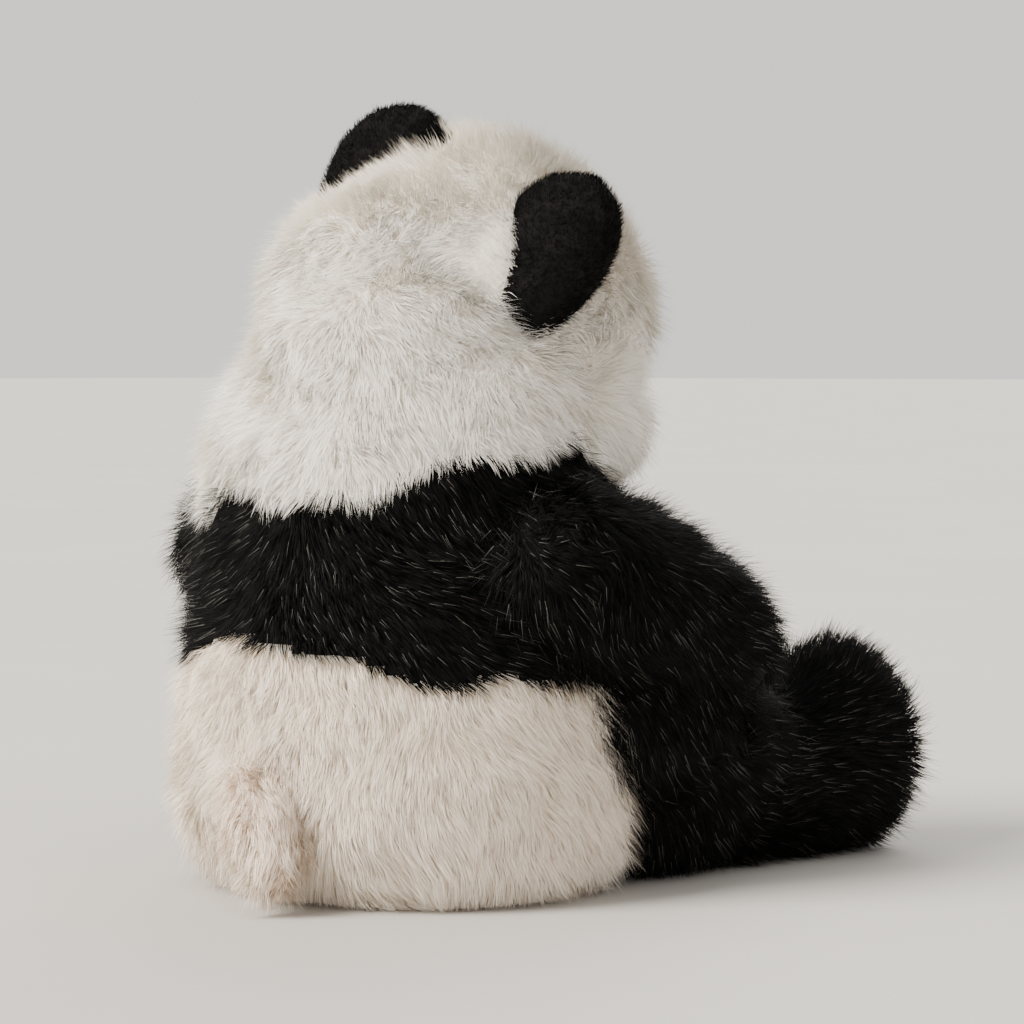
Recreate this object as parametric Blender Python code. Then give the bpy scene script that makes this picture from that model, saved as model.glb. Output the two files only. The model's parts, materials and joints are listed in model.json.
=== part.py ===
"""A seated plush panda: sewn fur panels over polyester stuffing, with a bag of pellets in the seat.

Metres, +Z up. The panda faces -Y, so its left side is +X. The origin is on the floor, under the
middle of the whole toy. Every soft part is a loft: rows of (along, shift x, shift y, half width,
half depth) joined by a smooth curve, cut into fabric panels along the seams.
"""

import math

import bmesh
import bpy
import numpy as np
from mathutils import Matrix, Vector

# Fabric and clearances
FUR = 0.004            # long-pile fabric, backing and flattened pile
SHORT_PILE = 0.0025    # ear and sole fabric
SEAM = 0.0006          # gap between two panels at a seam
CORE_GAP = 0.0026      # room between a panel and the stuffing, more than a facet sags
RUNNING = 0.0020       # room round each limb's root and under the head
CENTRE_Y = 0.0592      # moves the modelled toy so that its box is centred on the origin

# Pivots, before the whole toy is centred
NECK = Vector((0.0, -0.041, 0.195))
NECK_BOWL = 0.0660     # radius of the hollow that the head sits in
SHOULDER = Vector((0.083, 0.0, 0.126))
SHOULDER_RADIUS = 0.030
HIP = Vector((0.052, -0.068, 0.0350))
HIP_RADIUS = 0.034

# How the head is held
HEAD_CENTRE = Vector((0.0, -0.045, 0.2225))
HEAD_TILT = math.radians(-19.5)
HEAD_TURN = math.radians(3)
HEAD_NOD = math.radians(6)

# Seam levels, as shares of each loft's height or of a full turn
BAND_BOTTOM = 0.44
BAND_TOP = 0.665
BELLY_SEAM = 0.119
CHEST_SEAM = 0.155
FULL = 1.0
TIP = 0.02             # nearer an end than this, a panel closes over the tip
TIP_POWER = 1.6
POLE = 0.9999          # a panel stops just short of the tip that it closes
ROOT = 0.002           # and just past the root

# Limbs
ARM_DROP = math.radians(22)
ARM_SPREAD = math.radians(3)
ARM_REACH = 0.115
ARM_LIFT = math.radians(50)
LEG_SPREAD = math.radians(7)

# Face
EYE_TURN = 0.085
EYE_LEVEL = 0.56
EYE_RADIUS = 0.0052
SHANK_RADIUS = 0.0016
NOSE_LEVEL = 0.53
NOSE_WIDTH = 1.35      # across, for a height of 1

# name: (red, green, blue, roughness, metallic)
FINISHES = {
    "white_fur": (0.86, 0.80, 0.71, 0.85, 0.0),
    "black_fur": (0.012, 0.012, 0.013, 0.8, 0.0),
    "ear_plush": (0.010, 0.010, 0.011, 0.9, 0.0),
    "sole_suede": (0.030, 0.028, 0.028, 0.9, 0.0),
    "stuffing": (0.88, 0.88, 0.86, 1.0, 0.0),
    "pouch_cotton": (0.72, 0.66, 0.55, 0.95, 0.0),
    "gloss_black": (0.008, 0.007, 0.007, 0.12, 0.0),
    "washer_nylon": (0.75, 0.75, 0.73, 0.45, 0.0),
    "stitch_thread": (0.015, 0.013, 0.013, 0.6, 0.0),
}


def clear_scene():
    for thing in list(bpy.data.objects):
        bpy.data.objects.remove(thing)


def finish(name):
    """The Principled material of one kind of surface, made once."""
    if name in bpy.data.materials:
        return bpy.data.materials[name]
    red, green, blue, roughness, metallic = FINISHES[name]
    material = bpy.data.materials.new(name)
    material.use_nodes = True
    shader = material.node_tree.nodes["Principled BSDF"]
    shader.inputs["Base Color"].default_value = (red, green, blue, 1)
    shader.inputs["Roughness"].default_value = roughness
    shader.inputs["Metallic"].default_value = metallic
    return material


class Loft:
    """A stuffed form along its own +Z. Turn 0 faces its -Y and turn 0.25 its +X."""

    def __init__(self, rows, place=None, swell=None, levels=None):
        self.rows = np.array(rows, float)
        self.place = place or Matrix.Identity(4)
        self.swell = swell
        heights = self.rows[:, 0] - self.rows[0, 0]
        self.levels = heights / heights[-1] if levels is None else levels

    def offset(self, depth):
        """The same form with its skin moved in by depth, or out if depth is negative."""
        rows = self.rows.copy()
        size = rows[:, 3:].mean(axis=1)
        lean = np.gradient(size**2, rows[:, 0]) / 2
        length = np.hypot(lean, size)
        rows[:, 0] += depth * lean / length
        rows[:, 3:] -= depth * (size / length)[:, None] * (size > 0)[:, None]
        if size[0] > 0:
            rows[0, 0] = self.rows[0, 0] + depth
        return Loft(rows, self.place, self.swell, self.levels)

    def row_at(self, level):
        """The loft's row at a level from 0 to 1. Half sizes are squared on the way: ends close round."""
        keys = self.rows.copy()
        keys[:, 3:] **= 2
        slopes = np.gradient(keys, self.levels, axis=0)
        i = int(np.clip(np.searchsorted(self.levels, level) - 1, 0, len(keys) - 2))
        span = self.levels[i + 1] - self.levels[i]
        t = (level - self.levels[i]) / span
        row = (
            (2 * t**3 - 3 * t**2 + 1) * keys[i]
            + (t**3 - 2 * t**2 + t) * span * slopes[i]
            + (3 * t**2 - 2 * t**3) * keys[i + 1]
            + (t**3 - t**2) * span * slopes[i + 1]
        )
        row[3:] = np.sqrt(np.maximum(row[3:], 0))
        return row

    def point(self, turn, level):
        along, shift_x, shift_y, half_x, half_y = self.row_at(level)
        angle = math.tau * turn
        out = 1 + (self.swell(turn, level) if self.swell else 0)
        x = shift_x + half_x * math.sin(angle) * out
        y = shift_y - half_y * math.cos(angle) * out
        return self.place @ Vector((x, y, along))

    def frame(self, turn, level):
        """A matrix at a point of the skin, with +Z out of it and +Y towards the top of the loft."""
        step = 0.004
        at = self.point(turn, level)
        across = (self.point(turn + step, level) - at).normalized()
        up = (self.point(turn, level + step) - at).normalized()
        out = across.cross(up).normalized()
        up = out.cross(across)
        return Matrix.Translation(at) @ Matrix((across, up, out)).transposed().to_4x4()


def add_object(name, shape, finish_name, joint=None):
    """An object from a bmesh, with its normals facing out and its origin on its joint's pivot."""
    bmesh.ops.remove_doubles(shape, verts=shape.verts, dist=1e-6)
    bmesh.ops.dissolve_degenerate(shape, edges=shape.edges, dist=1e-6)
    bmesh.ops.recalc_face_normals(shape, faces=shape.faces)
    mesh = bpy.data.meshes.new(name)
    shape.to_mesh(mesh)
    shape.free()
    mesh.shade_smooth()
    mesh.set_sharp_from_angle(angle=math.radians(40))
    thing = bpy.data.objects.new(name, mesh)
    bpy.context.scene.collection.objects.link(thing)
    mesh.materials.append(finish(finish_name))
    if joint:
        mesh.transform(Matrix.Translation(-joint.location))
        thing.parent = joint
    return thing


def add_joint(name, place):
    empty = bpy.data.objects.new(name, None)
    empty.location = place
    empty.empty_display_size = 0.02
    bpy.context.scene.collection.objects.link(empty)
    return empty


def as_cutter(thing):
    thing.hide_render = True
    thing.display_type = "WIRE"
    return thing


def cut(things, *cutters):
    for thing in things:
        for cutter in cutters:
            modifier = thing.modifiers.new(cutter.name, "BOOLEAN")
            modifier.operation = "DIFFERENCE"
            modifier.object = cutter


def spaced(low, high, steps):
    """Levels from low to high, closer together towards a tip, where a form turns in sharply."""
    share = np.linspace(0, 1, steps + 1)
    if low <= TIP and high >= FULL - TIP:
        share = (1 - np.cos(math.pi * share)) / 2
    elif high >= FULL - TIP:
        share = 1 - (1 - share) ** TIP_POWER
    return low + (high - low) * share


def grid(shape, form, turns, levels):
    """Rows of vertices over a stretch of a form, one row for each level."""
    return [[shape.verts.new(form.point(turn, level)) for turn in turns] for level in levels]


def skin_faces(shape, rows):
    for low, high in zip(rows, rows[1:]):
        for i in range(len(low) - 1):
            shape.faces.new((low[i], low[i + 1], high[i + 1], high[i]))


def panel(name, form, turns, levels, finish_name, joint=None, thick=FUR, steps=(8, 7)):
    """A sewn fabric panel: the skin of a form between two turns and two levels, given thickness."""
    height = form.rows[-1, 0] - form.rows[0, 0]
    girth = math.tau * form.rows[:, 3:].max() * 0.8
    all_round = turns[1] - turns[0] >= FULL
    side_gap = 0 if all_round else SEAM / 2 / girth
    turn_steps = np.linspace(turns[0] + side_gap, turns[1] - side_gap, steps[0] + 1)
    level_steps = spaced(levels[0] + SEAM / 2 / height, levels[1] - SEAM / 2 / height, steps[1])
    if levels[0] <= 0:
        level_steps[0] = 0
    if levels[1] >= FULL:
        level_steps[-1] = 1
    shape = bmesh.new()
    outer = grid(shape, form, turn_steps, level_steps)
    inner = grid(shape, form.offset(thick), turn_steps, level_steps)
    skin_faces(shape, outer)
    skin_faces(shape, [row[::-1] for row in inner])
    skin_faces(shape, [inner[0], outer[0]])
    skin_faces(shape, [outer[-1], inner[-1]])
    if not all_round:
        skin_faces(shape, [[row[0] for row in outer], [row[0] for row in inner]])
        skin_faces(shape, [[row[-1] for row in inner], [row[-1] for row in outer]])
    return add_object(name, shape, finish_name, joint)


def filling(name, form, finish_name="stuffing", joint=None, steps=(20, 12)):
    """The solid inside a form. A form with a wide first or last row gets a flat end there."""
    shape = bmesh.new()
    rows = grid(shape, form, np.linspace(0, 1, steps[0] + 1), spaced(0, FULL, steps[1]))
    skin_faces(shape, rows)
    bmesh.ops.remove_doubles(shape, verts=shape.verts, dist=1e-6)
    bmesh.ops.holes_fill(shape, edges=[e for e in shape.edges if e.is_boundary])
    return add_object(name, shape, finish_name, joint)


def ball_cutter(name, centre, radius):
    shape = bmesh.new()
    bmesh.ops.create_uvsphere(
        shape, u_segments=24, v_segments=14, radius=radius, matrix=Matrix.Translation(centre)
    )
    return as_cutter(add_object(name, shape, "stuffing"))


def rod_cutter(name, frame, radius, top, bottom):
    """A round hole along a frame's Z, from top above the skin to bottom below it."""
    shape = bmesh.new()
    middle = frame @ Matrix.Translation((0, 0, (top + bottom) / 2))
    bmesh.ops.create_cone(
        shape, cap_ends=True, segments=14, radius1=radius, radius2=radius,
        depth=top - bottom, matrix=middle,
    )
    return as_cutter(add_object(name, shape, "stuffing"))


def turned(name, profile, frame, finish_name, joint, width=1.0, segments=16):
    """A turned piece: (radius, height) points spun round a frame's Z, wider along X by width."""
    shape = bmesh.new()
    rings = [
        [
            shape.verts.new(frame @ Vector((
                radius * width * math.cos(math.tau * i / segments),
                radius * math.sin(math.tau * i / segments),
                height,
            )))
            for i in range(segments + 1)
        ]
        for radius, height in profile
    ]
    skin_faces(shape, rings)
    if profile[0][0] > 0 and profile[0] == profile[-1]:
        return add_object(name, shape, finish_name, joint)
    bmesh.ops.remove_doubles(shape, verts=shape.verts, dist=1e-6)
    bmesh.ops.holes_fill(shape, edges=[e for e in shape.edges if e.is_boundary])
    return add_object(name, shape, finish_name, joint)


def torso_form():
    return Loft([
        (0.000, 0, -0.003, 0.072, 0.064),
        (0.012, 0, -0.003, 0.083, 0.074),
        (0.037, 0, -0.003, 0.089, 0.079),
        (0.074, 0, -0.002, 0.088, 0.078),
        (0.106, 0, 0.000, 0.082, 0.073),
        (0.138, 0, 0.001, 0.077, 0.067),
        (0.158, 0, 0.000, 0.076, 0.064),
        (0.182, 0, -0.004, 0.071, 0.060),
        (0.202, 0, -0.008, 0.060, 0.052),
        (0.218, 0, -0.012, 0.038, 0.034),
        (0.225, 0, -0.014, 0, 0),
    ])


def muzzle_swell(turn, level):
    """How far the muzzle stands out of the face, as a share of the head's half depth."""
    turn -= round(turn)
    return 0.36 * math.exp(-(turn / 0.062) ** 2 - ((level - 0.42) / 0.15) ** 2)


def head_form():
    tilt = Matrix.Rotation(HEAD_TILT, 4, "Y")
    turn = Matrix.Rotation(HEAD_TURN, 4, "Z")
    nod = Matrix.Rotation(HEAD_NOD, 4, "X")
    return Loft([
        (-0.060, 0, -0.002, 0, 0),
        (-0.049, 0, -0.002, 0.040, 0.036),
        (-0.026, 0, -0.001, 0.062, 0.055),
        (0.000, 0, 0, 0.067, 0.060),
        (0.026, 0, 0, 0.062, 0.057),
        (0.048, 0, 0, 0.042, 0.041),
        (0.060, 0, 0, 0, 0),
    ], Matrix.Translation(HEAD_CENTRE) @ tilt @ turn @ nod, muzzle_swell)


def limb_place(pivot, side, spread, drop):
    """A loft's +Z laid forwards from a pivot, with its turn 0.5 on top."""
    forwards = Matrix.Rotation(math.pi / 2, 4, "X")
    return (
        Matrix.Translation((side * pivot.x, pivot.y, pivot.z))
        @ Matrix.Rotation(side * spread, 4, "Z")
        @ Matrix.Rotation(drop, 4, "X")
        @ forwards
    )


def root_rows(radius, steps=4):
    """The round root of a limb: a half ball centred on its pivot."""
    rows = []
    for i in range(steps):
        angle = math.pi / 2 * i / steps
        rows.append((-radius * math.cos(angle), 0, 0, radius * math.sin(angle), radius * math.sin(angle)))
    return rows


def arm_form(side):
    return Loft(root_rows(SHOULDER_RADIUS) + [
        (0.000, 0, 0, 0.0300, 0.0300),
        (0.035, 0, 0, 0.0285, 0.0285),
        (0.066, 0, 0, 0.0255, 0.0245),
        (0.090, 0, 0, 0.0250, 0.0235),
        (0.106, 0, 0, 0.0180, 0.0170),
        (ARM_REACH, 0, 0, 0, 0),
    ], limb_place(SHOULDER, side, ARM_SPREAD, ARM_DROP))


def leg_form(side):
    """The leg lies along the floor and ends in a foot that stands up. Its shift y is height."""
    return Loft(root_rows(HIP_RADIUS) + [
        (0.000, 0, 0, 0.0340, 0.0340),
        (0.035, 0, -0.0030, 0.0320, 0.0310),
        (0.080, 0, -0.0030, 0.0320, 0.0310),
        (0.101, 0, 0.0030, 0.0345, 0.0370),
        (0.120, 0, 0.0075, 0.0360, 0.0415),
        (0.134, 0, 0.0075, 0.0325, 0.0385),
        (0.144, 0, 0.0075, 0.0210, 0.0260),
        (0.147, 0, 0.0075, 0, 0),
    ], limb_place(HIP, side, LEG_SPREAD, 0))


def ear_place(side):
    """An ear's +Z points up and out of the head, and its front faces forwards and a little out."""
    return (
        head_form().place
        @ Matrix.Translation((side * 0.039, 0.030, 0.015))
        @ Matrix.Rotation(math.radians(14), 4, "X")
        @ Matrix.Rotation(side * math.radians(8), 4, "Y")
        @ Matrix.Rotation(side * math.radians(5), 4, "Z")
    )


def ear_form(side):
    return Loft([
        (-0.004, 0, 0, 0.0210, 0.0095),
        (0.014, 0, 0, 0.0240, 0.0105),
        (0.032, 0, 0, 0.0240, 0.0100),
        (0.046, 0, 0, 0.0180, 0.0080),
        (0.054, 0, 0, 0, 0),
    ], ear_place(side))


def tail_form():
    """The tail hangs from the seat to the floor, bent a little to the toy's right."""
    aside = Matrix.Rotation(math.radians(42), 4, "Y")
    down = Matrix.Rotation(math.radians(-149), 4, "X")
    return Loft([
        (-0.012, 0, 0, 0.0150, 0.0130),
        (0.008, 0, 0, 0.0160, 0.0130),
        (0.026, 0, 0, 0.0110, 0.0090),
        (0.040, 0, 0, 0, 0),
    ], Matrix.Translation((-0.002, 0.073, 0.038)) @ aside @ down)


def side_name(side):
    return "left" if side > 0 else "right"


def turned_about(side, start, end):
    """A stretch of turns on the left side, or its mirror image on the right."""
    return (start, end) if side > 0 else (FULL - end, FULL - start)


def arm_swing_cutter(side):
    """The space that an arm sweeps beside the chest: its outline over the whole swing, as a slab."""
    radius = SHOULDER_RADIUS + RUNNING
    reach = math.hypot(ARM_REACH, radius)
    inner = SHOULDER.x - radius
    low, high = -ARM_DROP, ARM_LIFT - ARM_DROP
    edge = math.atan2(radius, ARM_REACH)
    around = [(radius, low - math.pi / 2)]
    around += [(reach, angle) for angle in np.linspace(low - edge, high + edge, 10)]
    around += [(radius, high + math.pi / 2)]
    shape = bmesh.new()
    base = [
        shape.verts.new((side * inner, SHOULDER.y - far * math.cos(a), SHOULDER.z + far * math.sin(a)))
        for far, a in around
    ]
    face = shape.faces.new(base)
    new = bmesh.ops.extrude_face_region(shape, geom=[face])["geom"]
    moved = [v for v in new if isinstance(v, bmesh.types.BMVert)]
    bmesh.ops.translate(shape, verts=moved, vec=(side * radius * 3, 0, 0))
    return as_cutter(add_object("cut_arm_swing_" + side_name(side), shape, "stuffing"))


def make_torso():
    """The body: white seat, belly and lower back, black band, white cape, stuffing and pellets."""
    form = torso_form()
    bowl = ball_cutter("cut_neck_bowl", NECK, NECK_BOWL + RUNNING)
    hips = [
        ball_cutter("cut_hip_" + side_name(s), (s * HIP.x, HIP.y, HIP.z), HIP_RADIUS + RUNNING)
        for s in (1, -1)
    ]
    shoulders = {
        s: ball_cutter(
            "cut_shoulder_" + side_name(s),
            (s * SHOULDER.x, SHOULDER.y, SHOULDER.z), SHOULDER_RADIUS + RUNNING,
        )
        for s in (1, -1)
    }
    swings = {s: arm_swing_cutter(s) for s in (1, -1)}
    belly_turns = (-BELLY_SEAM, BELLY_SEAM)
    chest_turns = (-CHEST_SEAM, CHEST_SEAM)
    belly = panel("belly_panel", form, belly_turns, (0, BAND_BOTTOM), "white_fur", steps=(10, 9))
    chest = panel("chest_band", form, chest_turns, (BAND_BOTTOM, BAND_TOP), "black_fur", steps=(10, 6))
    cut([belly], *hips, *swings.values())
    cut([chest], *shoulders.values(), *swings.values(), bowl)
    for side in (1, -1):
        name = side_name(side)
        rump = turned_about(side, BELLY_SEAM, 0.5)
        lower = panel("lower_back_" + name, form, rump, (0, BAND_BOTTOM), "white_fur", steps=(9, 9))
        cut([lower], swings[side], *hips)
        back = turned_about(side, CHEST_SEAM, 0.5)
        band = panel("shoulder_band_" + name, form, back, (BAND_BOTTOM, BAND_TOP), "black_fur", steps=(9, 6))
        cape = panel("cape_" + name, form, back, (BAND_TOP, POLE), "white_fur", steps=(9, 8))
        cut([band, cape], shoulders[side], swings[side], bowl)
    core_form = form.offset(FUR + CORE_GAP)
    core = filling("torso_stuffing", core_form, steps=(28, 16))
    pouch_form = Loft([
        (0.0058, 0, 0.014, 0.034, 0.030),
        (0.016, 0, 0.014, 0.042, 0.036),
        (0.030, 0, 0.014, 0.034, 0.029),
        (0.036, 0, 0.014, 0, 0),
    ])
    filling("pellet_pouch", pouch_form, "pouch_cotton", steps=(18, 8))
    pouch_room = as_cutter(filling("cut_pouch", pouch_form.offset(-0.0014), steps=(18, 8)))
    cut([core], bowl, *hips, *shoulders.values(), *swings.values(), pouch_room)
    seat = make_seat(form)
    cut([seat], *hips)


def make_seat(form):
    """The flat oval panel that the toy sits on, inside the lower edge of the body panels."""
    _, _, centre_y, half_x, half_y = form.rows[0]
    edge = FUR + SEAM
    oval = [(1.0, 0.0), (1.0, FUR)]
    frame = Matrix.Translation((0, centre_y, 0))
    radius = half_y - edge
    profile = [(radius * scale, height) for scale, height in oval]
    return turned("seat_panel", profile, frame, "white_fur", None, (half_x - edge) / radius, 28)


def make_tail():
    form = tail_form()
    body_room = as_cutter(filling("cut_tail_root", torso_form().offset(-SEAM), steps=(28, 20)))
    upper = panel("tail_upper_panel", form, (-0.25, 0.25), (0, POLE), "white_fur", thick=SHORT_PILE, steps=(6, 5))
    under = panel("tail_under_panel", form, (0.25, 0.75), (0, POLE), "white_fur", thick=SHORT_PILE, steps=(6, 5))
    core = filling("tail_stuffing", form.offset(SHORT_PILE + CORE_GAP / 2), steps=(12, 5))
    cut([upper, under, core], body_room)


def make_neck(joint):
    """The wad of stuffing in the neck: it turns in the bowl, and the head nods on it."""
    outer = NECK_BOWL
    inner = 0.0400
    half_angle = math.radians(33)
    steps = 6
    angles = [half_angle * i / steps for i in range(steps + 1)]
    under = [(outer * math.sin(a), -outer * math.cos(a)) for a in angles]
    top = [(inner * math.sin(a), -inner * math.cos(a)) for a in reversed(angles)]
    turned("neck_stuffing", under + top, Matrix.Translation(NECK), "stuffing", joint, segments=24)


def eye_profile():
    """A safety eye from the tip of its shank to the top of its dome."""
    dome = [
        (EYE_RADIUS * math.cos(a), 0.0008 + EYE_RADIUS * 0.72 * math.sin(a))
        for a in np.radians([0, 22, 45, 68, 90])
    ]
    return [(0, -0.009), (SHANK_RADIUS, -0.009), (SHANK_RADIUS, 0.0008)] + dome[:-1] + [(0, dome[-1][1])]


def washer_profile(height, shank=SHANK_RADIUS):
    hole = shank + 0.0004
    rim = hole + 0.0032
    thick = 0.0011
    return [(hole, height), (rim, height), (rim, height + thick), (hole, height + thick), (hole, height)]


def surface_oval(name, form, centre, size, lean, lift, thick, finish_name, joint):
    """An oval of fabric laid on a form. Centre and size are in turns and levels."""
    rings, around = 3, 18
    shape = bmesh.new()
    layers = []
    for depth in (-lift - thick, -lift):
        layer = form.offset(depth)
        rows = []
        for ring in range(rings + 1):
            share = ring / rings
            row = []
            for i in range(around + 1):
                angle = math.tau * i / around
                x = share * math.cos(angle)
                y = share * math.sin(angle)
                turn = centre[0] + size[0] * x + lean * size[0] * y
                row.append(shape.verts.new(layer.point(turn, centre[1] + size[1] * y)))
            rows.append(row)
        layers.append(rows)
    skin_faces(shape, layers[0])
    skin_faces(shape, [row[::-1] for row in layers[1]])
    skin_faces(shape, [layers[0][-1], layers[1][-1]])
    return add_object(name, shape, finish_name, joint)


def make_face(form, joint, skins, core):
    """Eye patches, safety eyes, nose and their washers, each through its own hole."""
    patch_lift, patch_thick = 0.0006, 0.0012
    for side in (1, -1):
        name = side_name(side)
        turn = side * EYE_TURN
        patch = surface_oval(
            "eye_patch_" + name, form, (turn, EYE_LEVEL - 0.02), (0.040, 0.115), side * 0.5,
            patch_lift, patch_thick, "ear_plush", joint,
        )
        skin = form.frame(turn, EYE_LEVEL)
        seat = skin @ Matrix.Translation((0, 0, patch_lift + patch_thick))
        turned("eye_" + name, eye_profile(), seat, "gloss_black", joint, segments=14)
        turned("eye_washer_" + name, washer_profile(-0.0060), skin, "washer_nylon", joint, segments=14)
        hole = rod_cutter("cut_eye_" + name, skin, SHANK_RADIUS + 0.0004, 0.004, -0.012)
        pocket = rod_cutter("cut_eye_pocket_" + name, skin, 0.0060, -0.0035, -0.0125)
        cut([patch, skins["face_" + name]], hole)
        cut([core], pocket)
    skin = form.frame(0, NOSE_LEVEL)
    profile = [(0, -0.009), (SHANK_RADIUS, -0.009), (SHANK_RADIUS, 0.0009)]
    profile += [(0.0060, 0.0012), (0.0064, 0.0028), (0.0050, 0.0052), (0.0026, 0.0064), (0, 0.0067)]
    turned("nose", profile, skin, "gloss_black", joint, NOSE_WIDTH, 16)
    turned("nose_washer", washer_profile(-0.0062, SHANK_RADIUS * NOSE_WIDTH), skin, "washer_nylon", joint, segments=14)
    hole = rod_cutter("cut_nose", skin, SHANK_RADIUS * NOSE_WIDTH + 0.0004, 0.004, -0.012)
    pocket = rod_cutter("cut_nose_pocket", skin, 0.0060, -0.0035, -0.0125)
    cut([skins["muzzle"]], hole)
    cut([core], pocket)
    make_mouth(form, joint)


def make_mouth(form, joint):
    """One line of thick thread: a smile under the nose."""
    skin = form.offset(-0.0012)
    points = []
    for i in range(-8, 9):
        turn = i * 0.0052
        level = NOSE_LEVEL - 0.115 - 0.035 * math.sin(abs(i) / 8 * math.pi)
        points.append(skin.point(turn, level))
    line = bpy.data.curves.new("mouth_stitching", "CURVE")
    line.dimensions = "3D"
    line.bevel_depth = 0.0006
    line.bevel_resolution = 1
    line.use_fill_caps = True
    spline = line.splines.new("POLY")
    spline.points.add(len(points) - 1)
    for slot, place in zip(spline.points, points):
        slot.co = (*(place - joint.location), 1)
    thing = bpy.data.objects.new("mouth_stitching", line)
    line.materials.append(finish("stitch_thread"))
    bpy.context.scene.collection.objects.link(thing)
    thing.parent = joint


def make_ears(form, joint):
    """Two lobes of short plush, each a front and a back panel over a little stuffing."""
    head_room = as_cutter(filling("cut_ear_root", form.offset(-SEAM), joint=joint, steps=(28, 16)))
    for side in (1, -1):
        ear = ear_form(side)
        name = side_name(side)
        front = panel("ear_front_" + name, ear, (-0.25, 0.25), (0, POLE), "ear_plush", joint, 0.002, (8, 6))
        back = panel("ear_back_" + name, ear, (0.25, 0.75), (0, POLE), "ear_plush", joint, 0.002, (8, 6))
        core = filling("ear_stuffing_" + name, ear.offset(0.0030), joint=joint, steps=(16, 6))
        cut([front, back, core], head_room)


def make_head(joint):
    """The head: back and face panels on each side, a centre strip, muzzle, chin and stuffing."""
    form = head_form()
    strip = 0.062
    open_end = 0.10
    muzzle_bottom, muzzle_top = 0.26, 0.60
    skins = {}
    for side in (1, -1):
        name = side_name(side)
        cheek = turned_about(side, strip, 0.27)
        nape = turned_about(side, 0.27, 0.5)
        if side < 0:
            cheek = (cheek[0] - FULL, cheek[1] - FULL)
        skins["face_" + name] = panel(
            "face_" + name, form, cheek, (open_end, POLE), "white_fur", joint, steps=(8, 12))
        panel("head_back_" + name, form, nape, (open_end, POLE), "white_fur", joint, steps=(8, 12))
    centre = (-strip, strip)
    panel("forehead_strip", form, centre, (muzzle_top, POLE), "white_fur", joint, steps=(5, 6))
    skins["muzzle"] = panel(
        "muzzle", form, centre, (muzzle_bottom, muzzle_top), "white_fur", joint, steps=(8, 8))
    panel("chin", form, centre, (open_end, muzzle_bottom), "white_fur", joint, steps=(5, 4))
    core = filling("head_stuffing", form.offset(FUR + CORE_GAP), joint=joint, steps=(32, 18))
    make_face(form, joint, skins, core)
    make_ears(form, joint)


def make_arm(side, joint):
    """A sewn arm: upper panel, under panel, paw pad at the palm, and stuffing."""
    form = arm_form(side)
    name = side_name(side)
    wrist = 0.80
    panel("arm_upper_" + name, form, (0.25, 0.75), (ROOT, POLE), "black_fur", joint, steps=(8, 11))
    panel("arm_under_" + name, form, (-0.25, 0.25), (ROOT, wrist), "black_fur", joint, steps=(8, 9))
    panel("paw_pad_" + name, form, (-0.25, 0.25), (wrist, POLE), "sole_suede", joint, steps=(8, 4))
    filling("arm_stuffing_" + name, form.offset(FUR + CORE_GAP), joint=joint, steps=(16, 12))


def make_leg(side, joint):
    """A sewn leg: upper panel, under panel, sole at the end of the foot, and stuffing."""
    form = leg_form(side)
    name = side_name(side)
    sole_edge = 0.945
    panel("leg_upper_" + name, form, (0.25, 0.75), (ROOT, sole_edge), "black_fur", joint, steps=(8, 13))
    panel("leg_under_" + name, form, (-0.25, 0.25), (ROOT, sole_edge), "black_fur", joint, steps=(8, 13))
    panel("foot_sole_" + name, form, (0, FULL), (sole_edge, FULL), "sole_suede", joint, SHORT_PILE, (18, 3))
    filling("leg_stuffing_" + name, form.offset(FUR + CORE_GAP), joint=joint, steps=(16, 14))


def centre_on_origin():
    """Moves everything so that the toy's box stands centred over the origin."""
    for thing in bpy.data.objects:
        if thing.parent is None:
            thing.location.y += CENTRE_Y


def main():
    clear_scene()
    make_torso()
    make_tail()
    make_neck(add_joint("neck_turn", NECK))
    make_head(add_joint("neck_nod", NECK))
    for side in (1, -1):
        name = side_name(side)
        shoulder = add_joint("arm_swing_" + name, (side * SHOULDER.x, SHOULDER.y, SHOULDER.z))
        make_arm(side, shoulder)
        hip = add_joint("leg_splay_" + name, (side * HIP.x, HIP.y, HIP.z))
        make_leg(side, hip)
    centre_on_origin()


main()
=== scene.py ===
import json
import math

import bmesh
import bpy
import numpy as np
from mathutils import Matrix, Vector
from mathutils.kdtree import KDTree


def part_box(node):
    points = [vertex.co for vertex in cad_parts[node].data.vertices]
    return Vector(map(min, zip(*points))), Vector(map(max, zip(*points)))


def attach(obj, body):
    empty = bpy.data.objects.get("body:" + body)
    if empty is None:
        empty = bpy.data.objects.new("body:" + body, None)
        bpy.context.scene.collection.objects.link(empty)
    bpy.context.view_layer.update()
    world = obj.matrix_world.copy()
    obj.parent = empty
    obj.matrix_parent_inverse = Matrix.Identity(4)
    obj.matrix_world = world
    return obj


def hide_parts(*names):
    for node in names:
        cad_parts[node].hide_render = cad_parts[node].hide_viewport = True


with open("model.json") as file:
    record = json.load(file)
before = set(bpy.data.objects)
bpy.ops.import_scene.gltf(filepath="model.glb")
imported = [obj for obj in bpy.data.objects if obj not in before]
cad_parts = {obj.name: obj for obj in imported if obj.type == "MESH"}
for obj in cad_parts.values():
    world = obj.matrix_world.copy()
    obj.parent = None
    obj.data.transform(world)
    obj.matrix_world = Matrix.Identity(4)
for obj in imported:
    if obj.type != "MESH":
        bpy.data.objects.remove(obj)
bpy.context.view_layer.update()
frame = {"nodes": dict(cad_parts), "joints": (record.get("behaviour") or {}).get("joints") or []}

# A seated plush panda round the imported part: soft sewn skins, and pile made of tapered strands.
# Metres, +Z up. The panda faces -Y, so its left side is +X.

SIDES = {"left": 1, "right": -1}
DETAIL = 1.0

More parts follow.
